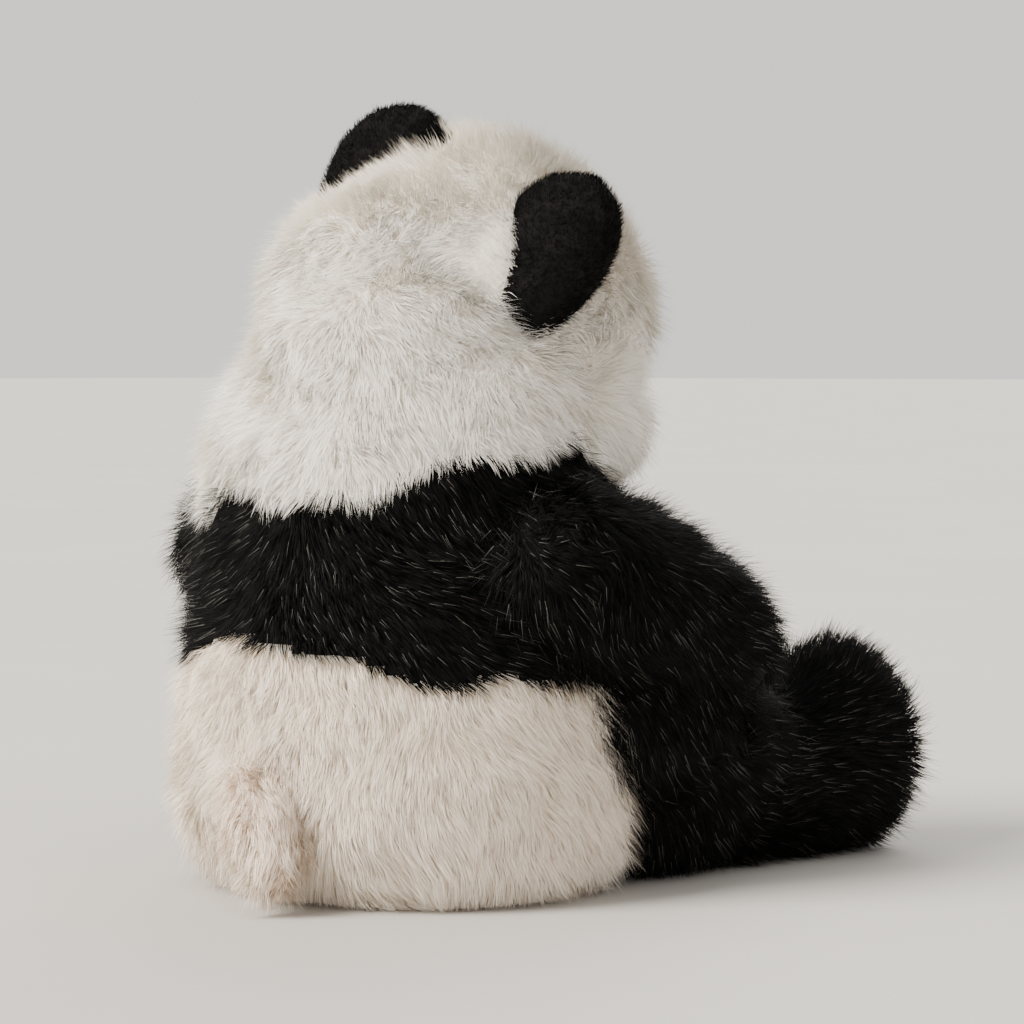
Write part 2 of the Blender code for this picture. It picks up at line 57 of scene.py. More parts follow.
# Places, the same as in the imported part
PIVOT = {joint["name"]: Vector(joint["pos_m"]) for joint in frame["joints"]}
BODY_Y = 0.0592
HEAD_HALF_X, HEAD_HALF_Y, HEAD_HALF_Z = 0.067, 0.060, 0.060
HEAD_CENTRE = Vector((0, BODY_Y - 0.045, 0.2225))
HEAD_PLACE = (
    Matrix.Translation(HEAD_CENTRE)
    @ Matrix.Rotation(math.radians(-19.5), 4, "Y")
    @ Matrix.Rotation(math.radians(3), 4, "Z")
    @ Matrix.Rotation(math.radians(6), 4, "X")
)

# The face: turns are shares of a full turn about the head, levels run from 0 at the chin to 1 at the crown
EYE_TURN = 0.085
EYE_BARE, NOSE_BARE, PUPIL_BARE = 0.0085, 0.010, 0.0062
PATCH_LEVEL, PATCH_WIDE, PATCH_TALL, PATCH_SLANT, PATCH_HANG = 0.54, 0.040, 0.115, 0.5, 0.006
MUZZLE_SWELL, MUZZLE_WIDE, MUZZLE_LEVEL, MUZZLE_TALL = 0.36, 0.062, 0.42, 0.15
EAR_FOOT = (0.0260, 0.0085, 0.045)  # half sizes of the bare place under an ear

# The black band: its edges at the spine, and how far they move towards the flanks
BAND_LOW, BAND_HIGH = 0.0985, 0.1515
BAND_DIP, BAND_CLIMB, BAND_SWAY = 0.011, 0.019, 0.0030
FLANK = 0.085

# Limbs
ARM_INSET = 0.001
PAD_START, PAD_UNDER, SOLE_START = 0.089, -0.005, 0.1385
TAIL_ROOT = Vector((-0.002, BODY_Y + 0.073, 0.038))

# Pile
FLOOR_GAP = 0.0006
ROOT_DEPTH = 0.0006
MIDDLE_WIDTH, STRAND_BEND = 0.8, 0.45
LEAST_LIFT, MOST_LIFT = 0.15, 1.4  # radians, as GUARD_LIFT is
GUARD_SHARE, GUARD_LIFT, GUARD_LONGER, GUARD_THINNER = 0.18, 0.65, 0.36, 0.45
WAVE, RIPPLE, STRAY = 0.26, 0.16, 0.14  # how far the comb wanders: over 45 mm, over 15 mm, and per strand
WAVE_LENGTH, RIPPLE_LENGTH, LIFT_LENGTH = 0.045, 0.015, 0.02
WHORL = Vector((-0.0575, 0.0165, 0.187))
WHORL_REACH, WHORL_PULL = 0.026, 3.0
LIMB_TURN = 0.070  # the distance along a limb over which its comb turns from down to along
CROWN, CROWN_SPAN, CROWN_LIFT = 0.245, 0.030, 0.6


# ---------------------------------------------------------------- materials

def node_material(name, roughness, specular):
    """A Principled material whose plain numbers sit on the shader itself."""
    material = bpy.data.materials.new(name)
    material.use_nodes = True
    shader = material.node_tree.nodes["Principled BSDF"]
    shader.inputs["Roughness"].default_value = roughness
    shader.inputs["Specular IOR Level"].default_value = specular
    return material, shader


def add_noise(material, scale, detail=6.0, distortion=0.0):
    nodes, links = material.node_tree.nodes, material.node_tree.links
    where = nodes.new("ShaderNodeTexCoord")
    noise = nodes.new("ShaderNodeTexNoise")
    noise.inputs["Scale"].default_value = scale
    noise.inputs["Detail"].default_value = detail
    noise.inputs["Distortion"].default_value = distortion
    links.new(where.outputs["Object"], noise.inputs["Vector"])
    return noise.outputs["Fac"]


def add_ramp(material, source, low, high, span=(0.35, 0.65)):
    ramp = material.node_tree.nodes.new("ShaderNodeValToRGB")
    ramp.color_ramp.elements[0].position = span[0]
    ramp.color_ramp.elements[1].position = span[1]
    ramp.color_ramp.elements[0].color = (*low, 1)
    ramp.color_ramp.elements[1].color = (*high, 1)
    material.node_tree.links.new(source, ramp.inputs["Fac"])
    return ramp.outputs["Color"]


def add_bump(material, shader, source, height, strength=0.6):
    bump = material.node_tree.nodes.new("ShaderNodeBump")
    bump.inputs["Strength"].default_value = strength
    bump.inputs["Distance"].default_value = height
    material.node_tree.links.new(source, bump.inputs["Height"])
    material.node_tree.links.new(bump.outputs["Normal"], shader.inputs["Normal"])


def add_rough_range(material, shader, source, low, high):
    spread = material.node_tree.nodes.new("ShaderNodeMapRange")
    spread.inputs["To Min"].default_value = low
    spread.inputs["To Max"].default_value = high
    material.node_tree.links.new(source, spread.inputs["Value"])
    material.node_tree.links.new(spread.outputs["Result"], shader.inputs["Roughness"])


def grained(name, low, high, scale, roughness, height, specular=0.3):
    """A cloth, fibre or moulded surface: two colours in a grain, with the grain raised."""
    material, shader = node_material(name, roughness, specular)
    coarse = add_noise(material, scale, distortion=0.4)
    fine = add_noise(material, scale * 6, detail=3.0)
    material.node_tree.links.new(add_ramp(material, coarse, low, high), shader.inputs["Base Color"])
    add_rough_range(material, shader, coarse, roughness * 0.85, min(1.0, roughness * 1.1))
    add_bump(material, shader, fine, height)
    return material


def strand_material(name, colour, roughness, specular):
    """One flat shade of fibre: the variation comes from the mix of strands."""
    material, shader = node_material(name, roughness, specular)
    shader.inputs["Base Color"].default_value = (*colour, 1)
    return material


WHITE_CLOTH = grained("white_cloth", (0.86, 0.79, 0.69), (0.94, 0.89, 0.82), 60, 0.9, 0.0012)
BLACK_CLOTH = grained("black_cloth", (0.003, 0.003, 0.003), (0.008, 0.007, 0.007), 60, 0.9, 0.0012, 0.05)
EAR_CLOTH = grained("ear_cloth", (0.003, 0.003, 0.003), (0.008, 0.007, 0.007), 90, 0.9, 0.0008, 0.05)
SUEDE = grained("suede", (0.010, 0.009, 0.009), (0.022, 0.020, 0.019), 140, 0.95, 0.0005, 0.06)
FIBRE = grained("stuffing_fibre", (0.70, 0.70, 0.68), (0.92, 0.92, 0.90), 80, 0.95, 0.002)
COTTON = grained("pouch_cotton_weave", (0.62, 0.56, 0.45), (0.76, 0.70, 0.58), 220, 0.9, 0.0004)
NYLON = grained("moulded_nylon", (0.70, 0.70, 0.68), (0.78, 0.78, 0.76), 300, 0.45, 0.0001)
THREAD = grained("twisted_thread", (0.010, 0.009, 0.009), (0.030, 0.027, 0.027), 900, 0.6, 0.0003)
GLOSS = grained("polished_black", (0.003, 0.002, 0.002), (0.006, 0.004, 0.004), 120, 0.07, 0.00001, 0.25)

# Each shade of pile: its share of the strands, its root colour and its tip colour. The roots are darker
# than the tips: painted shade, for the shadow deep in the pile.
WHITE_SHADES = [
    (0.60, (0.94, 0.90, 0.82), (0.98, 0.95, 0.89)),
    (0.32, (0.92, 0.85, 0.75), (0.98, 0.93, 0.85)),
    (0.08, (0.86, 0.78, 0.66), (0.95, 0.90, 0.81)),
]
# The lower body's pile is warmer than the cape's: partly the fur's own cream tone, partly painted warm
# light bounced up from below.
CREAM_BOUNCE_LIT_SHADES = [
    (0.50, (0.91, 0.80, 0.66), (0.98, 0.90, 0.79)),
    (0.35, (0.87, 0.73, 0.58), (0.97, 0.86, 0.73)),
    (0.15, (0.78, 0.62, 0.47), (0.93, 0.79, 0.65)),
]
# The tail's pile is darker and warmer than the lower body's: painted shade and warm bounce light on the
# low-lying tail.
SHADED_TAIL_SHADES = [
    (0.35, (0.86, 0.72, 0.57), (0.97, 0.87, 0.75)),
    (0.35, (0.80, 0.63, 0.48), (0.95, 0.82, 0.69)),
    (0.30, (0.68, 0.50, 0.37), (0.90, 0.74, 0.60)),
]
BLACK_SHADES = [
    (0.74, (0.003, 0.003, 0.003), (0.005, 0.005, 0.005)),
    (0.23, (0.004, 0.004, 0.004), (0.014, 0.013, 0.012)),
    # The last, rare shade has pale tips: painted glints of light on the black fibres.
    (0.005, (0.010, 0.010, 0.010), (0.110, 0.102, 0.094)),
]
EAR_SHADES = [
    (0.75, (0.002, 0.002, 0.002), (0.004, 0.004, 0.004)),
    (0.25, (0.003, 0.003, 0.003), (0.009, 0.008, 0.008)),
]


def shade_materials(name, shades, roughness, specular):
    made = []
    for number, (_, root, tip) in enumerate(shades):
        # The root material is painted shade: darker than the tip, for the shadow deep in the pile.
        made.append(strand_material(f"{name}_root_{number}", root, roughness, specular))
        made.append(strand_material(f"{name}_tip_{number}", tip, roughness, specular))
    return made


# ---------------------------------------------------------------- skins

def row_at(keys, levels, slopes, level):
    """A loft row at a level. Half sizes are squared on the way, so that closed ends are round."""
    i = int(np.clip(np.searchsorted(levels, level) - 1, 0, len(keys) - 2))
    span = levels[i + 1] - levels[i]
    t = (level - levels[i]) / span
    row = (
        (2 * t**3 - 3 * t**2 + 1) * keys[i]
        + (t**3 - 2 * t**2 + t) * span * slopes[i]
        + (3 * t**2 - 2 * t**3) * keys[i + 1]
        + (t**3 - t**2) * span * slopes[i + 1]
    )
    row[3:] = np.sqrt(np.maximum(row[3:], 0))
    return row


def add_loft(shape, rows, place, swell=None, rings=26, around=40):
    """A closed form through rows of (along, shift x, shift y, half width, half depth)."""
    keys = np.array(rows, float)
    levels = (keys[:, 0] - keys[0, 0]) / (keys[-1, 0] - keys[0, 0])
    keys[:, 3:] **= 2
    slopes = np.gradient(keys, levels, axis=0)
    made = []
    for ring in range(rings + 1):
        level = (1 - math.cos(math.pi * ring / rings)) / 2
        along, shift_x, shift_y, half_x, half_y = row_at(keys, levels, slopes, level)
        half_x, half_y = max(half_x, 1e-4), max(half_y, 1e-4)
        circle = []
        for i in range(around):
            angle = math.tau * i / around
            out = 1 + (swell(i / around, level) if swell else 0)
            x = shift_x + half_x * math.sin(angle) * out
            y = shift_y - half_y * math.cos(angle) * out
            circle.append(shape.verts.new(place @ Vector((x, y, along))))
        made.append(circle)
    for low, high in zip(made, made[1:]):
        for i in range(around):
            j = (i + 1) % around
            shape.faces.new((low[i], low[j], high[j], high[i]))
    shape.faces.new(made[0][::-1])
    shape.faces.new(made[-1])


def add_lump(shape, lump, side=1, place=Matrix.Identity(4)):
    """An ellipsoid of (centre, half sizes) to be merged into a skin. A side of -1 mirrors it."""
    (x, y, z), half = lump
    matrix = place @ Matrix.Translation((side * x, y, z)) @ Matrix.Diagonal((*half, 1))
    bmesh.ops.create_uvsphere(shape, u_segments=32, v_segments=20, radius=1, matrix=matrix)


def merged_skin(name, shape, voxel=0.0032, smoothing=14):
    """One smooth closed skin round every overlapping form in shape."""
    mesh = bpy.data.meshes.new(name)
    shape.to_mesh(mesh)
    shape.free()
    thing = bpy.data.objects.new(name, mesh)
    bpy.context.scene.collection.objects.link(thing)
    remesh = thing.modifiers.new("merge", "REMESH")
    remesh.mode = "VOXEL"
    remesh.voxel_size = voxel
    smooth = thing.modifiers.new("smooth", "SMOOTH")
    smooth.factor = 0.5
    smooth.iterations = smoothing
    graph = bpy.context.evaluated_depsgraph_get()
    thing.data = bpy.data.meshes.new_from_object(thing.evaluated_get(graph))
    thing.modifiers.clear()
    thing.data.shade_smooth()
    return thing


def split_off(thing, name, test):
    """Moves the faces whose centres pass the test into a new object."""
    mesh = thing.data
    centres = np.empty(len(mesh.polygons) * 3)
    mesh.polygons.foreach_get("center", centres)
    chosen = test(centres.reshape(-1, 3))
    other = bpy.data.objects.new(name, mesh.copy())
    bpy.context.scene.collection.objects.link(other)
    for owner, drop in ((thing, chosen), (other, ~chosen)):
        shape = bmesh.new()
        shape.from_mesh(owner.data)
        shape.faces.ensure_lookup_table()
        doomed = [shape.faces[i] for i in np.nonzero(drop)[0]]
        bmesh.ops.delete(shape, geom=doomed, context="FACES")
        shape.to_mesh(owner.data)
        shape.free()
    return other


def dress(thing, material, body, nodes):
    """Gives a skin its cloth, its body and the CAD nodes that it stands for."""
    thing.data.materials.clear()
    thing.data.materials.append(material)
    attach(thing, body)
    if nodes:
        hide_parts(*nodes)
    return thing


# ---------------------------------------------------------------- pile

def smooth_noise(points, wavelength, seed):
    """A smooth random vector for each point, mostly between -1 and 1."""
    draw = np.random.default_rng(seed)
    waves = 10
    total = np.zeros_like(points)
    for _ in range(waves):
        direction = draw.normal(size=3)
        direction /= np.linalg.norm(direction)
        step = wavelength * draw.uniform(0.7, 1.5)
        phase = draw.uniform(0, math.tau, 3)
        total += np.sin((points @ direction)[:, None] * math.tau / step + phase)
    return total / math.sqrt(waves / 2)


def unit(vectors):
    return vectors / np.maximum(np.linalg.norm(vectors, axis=1, keepdims=True), 1e-9)


def skin_arrays(skin):
    mesh = skin.data
    mesh.calc_loop_triangles()
    points = np.empty(len(mesh.vertices) * 3)
    normals = np.empty(len(mesh.vertices) * 3)
    corners = np.empty(len(mesh.loop_triangles) * 3, np.int32)
    mesh.vertices.foreach_get("co", points)
    mesh.vertices.foreach_get("normal", normals)
    mesh.loop_triangles.foreach_get("vertices", corners)
    return points.reshape(-1, 3), normals.reshape(-1, 3), corners.reshape(-1, 3)


def scatter(skin, count, draw):
    """Random places on a skin, evenly over its area, with the skin's normal at each."""
    points, normals, corners = skin_arrays(skin)
    a, b, c = (points[corners[:, k]] for k in range(3))
    area = np.linalg.norm(np.cross(b - a, c - a), axis=1)
    chosen = draw.choice(len(corners), count, p=area / area.sum())
    share = draw.random((count, 2))
    over = share.sum(axis=1) > 1
    share[over] = 1 - share[over]
    weights = np.column_stack([1 - share.sum(axis=1), share])
    picked = corners[chosen]
    places = np.einsum("nk,nkx->nx", weights, points[picked])
    outs = unit(np.einsum("nk,nkx->nx", weights, normals[picked]))
    return places, outs


def clump_of(places, size, draw):
    """For each strand, the strand at the middle of its tuft."""
    middles = np.nonzero(draw.random(len(places)) < size)[0]
    tree = KDTree(len(middles))
    for number, i in enumerate(middles):
        tree.insert(places[i], number)
    tree.balance()
    return middles[[tree.find(place)[1] for place in places]]


def strand_mesh(name, root, middle, tip, across, outs, shade, materials):
    """Every strand as a blade of one four-sided face and one three-sided tip."""
    count = len(root)
    narrow = MIDDLE_WIDTH * across
    corners = [root - across, root + across, middle - narrow, middle + narrow, tip]
    points = np.stack(corners, 1).reshape(-1, 3)
    points[:, 2] = np.maximum(points[:, 2], FLOOR_GAP)
    mesh = bpy.data.meshes.new(name)
    mesh.vertices.add(count * 5)
    mesh.vertices.foreach_set("co", points.astype(np.float32).ravel())
    base = np.arange(count)[:, None]
    loops = base * 5 + np.array([0, 1, 3, 2, 2, 3, 4])
    mesh.loops.add(count * 7)
    mesh.loops.foreach_set("vertex_index", loops.astype(np.int32).ravel())
    mesh.polygons.add(count * 2)
    mesh.polygons.foreach_set("loop_start", (base * 7 + np.array([0, 4])).astype(np.int32).ravel())
    # The lower face takes the darker root material, which is painted shade in the pile; the tip face takes
    # the tip material.
    slots = shade[:, None] * 2 + np.array([0, 1])
    mesh.polygons.foreach_set("material_index", slots.astype(np.int32).ravel())
    for material in materials:
        mesh.materials.append(material)
    mesh.update(calc_edges=True)
    mesh.shade_smooth()
    normals = mesh.attributes.new("custom_normal", "FLOAT_VECTOR", "POINT")
    normals.data.foreach_set("vector", np.repeat(outs, 5, axis=0).astype(np.float32).ravel())
    thing = bpy.data.objects.new(name, mesh)
    bpy.context.scene.collection.objects.link(thing)
    return thing


def everywhere(points):
    return np.ones(len(points), bool)


def evenly(points):
    return np.ones(len(points))


def skin_area(skin):
    points, _, corners = skin_arrays(skin)
    a, b, c = (points[corners[:, k]] for k in range(3))
    return np.linalg.norm(np.cross(b - a, c - a), axis=1).sum() / 2


def strand_ways(places, outs, look, lift_at, seed, draw):
    """The ways that the lower and upper halves of each strand point, and which strands are guard hairs."""
    count = len(places)
    comb = look["comb"](places) + WAVE * smooth_noise(places, WAVE_LENGTH, seed + 1)
    comb += RIPPLE * smooth_noise(places, RIPPLE_LENGTH, seed + 2) + STRAY * draw.normal(size=(count, 3))
    along = unit(comb - np.sum(comb * outs, axis=1, keepdims=True) * outs)
    uneven = 1 + 0.22 * smooth_noise(places, LIFT_LENGTH, seed + 3)[:, :1]
    lift = np.radians(look["lift"]) * uneven * lift_at(places)[:, None]
    lift += 0.12 * draw.normal(size=(count, 1))
    guard = draw.random((count, 1)) < GUARD_SHARE
    lift = np.clip(lift + GUARD_LIFT * guard, LEAST_LIFT, MOST_LIFT)
    first = np.cos(lift) * along + np.sin(lift) * outs
    return first, unit(first + STRAND_BEND * along), guard


def strand_shades(look, guard, draw):
    """A shade for each strand. Some of the guard hairs take the last, palest one, which on the black pile
    is a painted glint.
    """
    shares = np.array([share for share, _, _ in look["shades"]])
    shade = draw.choice(len(shares), len(guard), p=shares / shares.sum())
    pale = guard[:, 0] & (draw.random(len(guard)) < look["pale_guard"])
    shade[pale] = len(shares) - 1
    return shade


def grow_pile(name, skin, look, body, seed, keep=everywhere, length_at=evenly, lift_at=evenly):
    """Pile over a skin. keep chooses where it grows, length_at and lift_at scale it from place to place."""
    draw = np.random.default_rng(seed)
    places, outs = scatter(skin, int(skin_area(skin) * look["density"] * DETAIL), draw)
    wanted = keep(places)
    places, outs = places[wanted], outs[wanted]
    count = len(places)
    first, second, guard = strand_ways(places, outs, look, lift_at, seed, draw)
    length = look["length"] * draw.uniform(0.7, 1.15, (count, 1)) * (1 + GUARD_LONGER * guard)
    length *= length_at(places)[:, None]
    root = places - ROOT_DEPTH * outs
    middle = root + 0.5 * length * first
    tip = middle + 0.5 * length * second
    centre = clump_of(places, look["tuft"], draw)
    tip += look["pull"] * (tip[centre] - tip)
    middle += 0.35 * look["pull"] * (middle[centre] - middle)
    flat = unit(np.cross(first, outs))
    twist = draw.normal(0, 0.45, (count, 1))
    across = flat * np.cos(twist) + np.cross(first, flat) * np.sin(twist)
    across *= look["width"] * 0.5 * draw.uniform(0.7, 1.2, (count, 1)) * (1 - GUARD_THINNER * guard)
    shade = strand_shades(look, guard, draw)
    face = unit(np.cross(across, first))
    facing = unit(0.9 * outs + 0.25 * face + 0.10 * draw.normal(size=(count, 3)))
    thing = strand_mesh(name, root, middle, tip, across, facing, shade, look["materials"])
    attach(thing, body)
    return thing


def comb_down(places):
    """Down the body, drawn a little to its right, as if stroked."""
    return np.tile((-0.30, -0.12, -1.0), (len(places), 1))


def comb_head(places):
    """Back from the nose over the crown, down the nape, and outwards from a whorl on each cheek."""
    local = places - np.array(HEAD_CENTRE)
    back = np.array((-0.1, 0.9, -0.1))
    down = np.array((-0.2, 0.1, -1.0))
    share = np.clip(0.4 + local[:, 2:3] / 0.07, 0, 1)
    comb = share * back + (1 - share) * down
    whorl = HEAD_PLACE.inverted() @ WHORL
    for side in SIDES.values():
        middle = np.array(HEAD_PLACE @ Vector((-side * whorl.x, whorl.y, whorl.z)))
        away = places - middle
        distance = np.linalg.norm(away, axis=1, keepdims=True)
        comb += WHORL_PULL * np.exp(-(distance / WHORL_REACH) ** 2) * away / (distance + 0.001)
    return comb


def comb_band(places):
    """Out from the spine and down, towards the arms."""
    aside = np.tanh(places[:, 0] / 0.02)
    return np.column_stack([0.9 * aside, np.full(len(places), -0.35), np.full(len(places), -0.75)])


def comb_limb(axis, pivot):
    """Down over the root of a limb, then along it."""
    forward, start = np.array(axis, float), np.array(pivot, float)

    def comb(places):
        share = np.clip((places - start) @ forward[:, None] / LIMB_TURN, 0.15, 1)
        return share * forward + (1 - share) * np.array((0, 0, -1.0))

    return comb


def comb_along(axis):
    direction = np.array(axis, float)
    return lambda places: np.tile(direction, (len(places), 1))


def look(kind, shades, roughness, specular, **pile):
    """How a pile looks: density in strands per square metre, lift in degrees, tuft in tufts per strand."""
    usual = dict(length=0.0125, tuft=0.05, pull=0.3, pale_guard=0, comb=comb_down)
    materials = shade_materials(kind, shades, roughness, specular)
    return usual | pile | dict(shades=shades, materials=materials)


WHITE_LOOK = look("white_strand", WHITE_SHADES, 0.6, 0.20, density=2_000_000, width=0.00029, lift=33,
                  tuft=0.06)
CREAM_BOUNCE_LIT_LOOK = look("cream_bounce_lit_strand", CREAM_BOUNCE_LIT_SHADES, 0.6, 0.20, density=2_000_000, width=0.00029, lift=33)
SHADED_TAIL_LOOK = look("shaded_tail_strand", SHADED_TAIL_SHADES, 0.6, 0.20, density=2_000_000, length=0.0145, width=0.00030,
                 lift=20, tuft=0.03, pull=0.5)
# Some of the black pile's guard hairs take pale tips, which are painted glints.
BLACK_LOOK = look("black_strand", BLACK_SHADES, 0.6, 0.035, density=1_200_000, width=0.00036, lift=34,
                  pale_guard=0.14)
EAR_LOOK = look("ear_strand", EAR_SHADES, 0.8, 0.015, density=1_500_000, length=0.0032, width=0.00035,
                lift=55, pull=0.2)


# ---------------------------------------------------------------- the toy

# Every row: distance along, shift in x and y, half width, half depth
TORSO_ROWS = [
    (0.000, 0, -0.003, 0.072, 0.064),
    (0.012, 0, -0.003, 0.083, 0.074),
    (0.037, 0, -0.003, 0.089, 0.079),
    (0.074, 0, -0.002, 0.088, 0.078),
    (0.106, 0, 0.000, 0.082, 0.073),
    (0.138, 0, 0.001, 0.079, 0.069),
    (0.158, 0, 0.001, 0.080, 0.069),
    (0.182, 0, -0.002, 0.074, 0.063),
    (0.202, 0, -0.006, 0.064, 0.056),
    (0.218, 0, -0.012, 0.038, 0.034),
    (0.225, 0, -0.014, 0, 0),
]
HEAD_ROWS = [
    (-HEAD_HALF_Z, 0, -0.002, 0, 0),
    (-0.049, 0, -0.002, 0.040, 0.036),
    (-0.026, 0, -0.001, 0.062, 0.055),
    (0.000, 0, 0, HEAD_HALF_X, HEAD_HALF_Y),
    (0.026, 0, 0, 0.062, 0.057),
    (0.048, 0, 0, 0.042, 0.041),
    (HEAD_HALF_Z, 0, 0, 0, 0),
]
ARM_ROWS = [
    (-0.030, 0, 0, 0, 0),
    (-0.021, 0, 0, 0.0205, 0.0215),
    (0.000, 0, 0, 0.0275, 0.0290),
    (0.030, 0, 0, 0.0290, 0.0345),
    (0.060, 0, 0, 0.0280, 0.0325),
    (0.088, 0, 0, 0.0268, 0.0280),
    (0.106, 0, 0, 0.0200, 0.0190),
    (0.116, 0, 0, 0, 0),
]
LEG_ROWS = [
    (-0.034, 0, 0, 0, 0),
    (-0.024, 0, 0, 0.0241, 0.0241),
    (0.000, 0, 0, 0.0340, 0.0340),
    (0.035, 0, -0.0030, 0.0320, 0.0310),
    (0.080, 0, -0.0030, 0.0320, 0.0310),
    (0.101, 0, 0.0030, 0.0345, 0.0370),
    (0.120, 0, 0.0075, 0.0360, 0.0415),
    (0.134, 0, 0.0075, 0.0325, 0.0385),
    (0.144, 0, 0.0075, 0.0210, 0.0260),
    (0.147, 0, 0.0075, 0, 0),
]
EAR_ROWS = [
    (-0.006, 0, -0.0020, 0.0200, 0.0120),
    (0.012, 0, -0.0030, 0.0265, 0.0140),
    (0.032, 0, -0.0035, 0.0270, 0.0145),
    (0.047, 0, -0.0045, 0.0205, 0.0115),
    (0.057, 0, -0.0050, 0, 0),
]
TAIL_ROWS = [
    (-0.012, 0, 0, 0.0150, 0.0130),
    (0.008, 0, 0, 0.0160, 0.0130),
    (0.026, 0, 0, 0.0110, 0.0090),
    (0.040, 0, 0, 0, 0),
]


# Lumps that fill the skins out: centre and half sizes, on the left where there are two
SHOULDER = ((0.066, 0.052, 0.133), (0.028, 0.034, 0.033))
BUTTOCK = ((0.032, 0.104, 0.036), (0.028, 0.028, 0.028))
NAPE = ((0, 0.062, 0.199), (0.055, 0.050, 0.043))
THROAT = ((0, 0.016, 0.170), (0.052, 0.048, 0.038))
HEAD_BACK = ((0.012, 0.055, 0.226), (0.044, 0.043, 0.042))
CROWN_BACK = ((0.006, 0.040, 0.241), (0.043, 0.044, 0.038))
THIGH_BACK = ((0.077, 0.004, 0.069), (0.030, 0.044, 0.031))
THIGH_FRONT = ((0.068, -0.032, 0.050), (0.030, 0.050, 0.031))

# The same, from the middle of the head and turned with it
FOREHEAD = ((0.004, 0.004, 0.022), (0.050, 0.046, 0.0435))
CHEEK = ((0.036, -0.015, -0.028), (0.035, 0.040, 0.029))


def rise(points, start, end):
    """0 at the spine and breast, growing smoothly to 1 at the flanks."""
    share = np.clip((np.abs(points[:, 0]) / FLANK - start) / (end - start), 0, 1)
    return share * share * (3 - 2 * share)


def band_bottom(points):
    """The lower edge of the black band dips towards the flanks."""
    sway = BAND_SWAY * smooth_noise(points, 0.05, 31)[:, 2]
    return BAND_LOW - BAND_DIP * rise(points, 0.35, 0.85) + sway


def band_top(points):
    """The upper edge of the black band climbs over the shoulders."""
    sway = BAND_SWAY * smooth_noise(points, 0.04, 32)[:, 2]
    return BAND_HIGH + BAND_CLIMB * rise(points, 0.42, 0.95) + sway


def in_band(points):
    return (points[:, 2] > band_bottom(points)) & (points[:, 2] < band_top(points))


def in_cape(points):
    return points[:, 2] >= band_top(points)


def make_torso():
    shape = bmesh.new()
    add_loft(shape, TORSO_ROWS, Matrix.Translation((0, BODY_Y, 0)))
    for side in SIDES.values():
        add_lump(shape, SHOULDER, side)
        add_lump(shape, BUTTOCK, side)
    add_lump(shape, NAPE)
    add_lump(shape, THROAT)
    body = merged_skin("lower_body_skin", shape)
    band = split_off(body, "shoulder_band_skin", in_band)
    cape = split_off(body, "cape_skin", in_cape)
    dress(body, WHITE_CLOTH, "torso",
          ["seat_panel", "belly_panel", "lower_back_left", "lower_back_right"])
    dress(band, BLACK_CLOTH, "torso",
          ["chest_band", "shoulder_band_left", "shoulder_band_right"])
    dress(cape, WHITE_CLOTH, "torso", ["cape_left", "cape_right"])
    # The lower body takes the warmer cream pile, partly painted bounce light.
    grow_pile("lower_body_pile", body, CREAM_BOUNCE_LIT_LOOK, "torso", 101)
    grow_pile("shoulder_band_pile", band, BLACK_LOOK | {"comb": comb_band}, "torso", 102)
    grow_pile("cape_pile", cape, WHITE_LOOK, "torso", 103)


def muzzle_swell(turn, level):
    """How far the head swells out round the nose."""
    turn -= round(turn)
    rise_off = ((level - MUZZLE_LEVEL) / MUZZLE_TALL) ** 2
    return MUZZLE_SWELL * math.exp(-(turn / MUZZLE_WIDE) ** 2 - rise_off)


def face_share(points):
    """Each point's turn about the head, from -0.5 to 0.5, and its level from chin to crown."""
    local = (points - np.array(HEAD_PLACE.translation)) @ np.array(HEAD_PLACE.to_3x3())
    turn = np.arctan2(local[:, 0] / HEAD_HALF_X, -local[:, 1] / HEAD_HALF_Y) / math.tau
    return turn, (local[:, 2] + HEAD_HALF_Z) / (2 * HEAD_HALF_Z)


def in_patch(points):
    """The two black ovals round the eyes."""
    turn, level = face_share(points)
    up = (level - PATCH_LEVEL) / PATCH_TALL
    across = (np.abs(turn) - EYE_TURN) / PATCH_WIDE - PATCH_SLANT * up
    return across**2 + up**2 < 1


def round_eye(points):
    """The patches, and the strip above each that the white pile hangs over."""
    return in_patch(points) | in_patch(points - (0, 0, PATCH_HANG))


def near(points, nodes, distance):
    """Which points lie within a distance of the middle of any of these CAD nodes."""
    found = np.zeros(len(points), bool)
    for node in nodes:
        low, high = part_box(node)
        found |= np.linalg.norm(points - np.array((low + high) / 2), axis=1) < distance
    return found


def under_ear(points):
    """Where an ear stands on the head."""
    found = np.zeros(len(points), bool)
    for side in SIDES.values():
        local = np.abs(limb_local(ear_place(side), points))
        found |= (local < EAR_FOOT).all(axis=1)
    return found


def head_length(points):
    """Pile is short on the muzzle and beside the ears, and long on the cheeks and crown."""
    low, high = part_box("nose")
    from_nose = np.linalg.norm(points - np.array((low + high) / 2), axis=1)
    share = np.clip((from_nose - 0.006) / 0.060, 0.28, 1.0)
    for side in SIDES.values():
        root = ear_place(side) @ Vector((0, 0.010, 0.016))
        from_ear = np.linalg.norm(points - np.array(root), axis=1)
        share = np.minimum(share, np.clip((from_ear - 0.010) / 0.014, 0.50, 1.0))
    return share


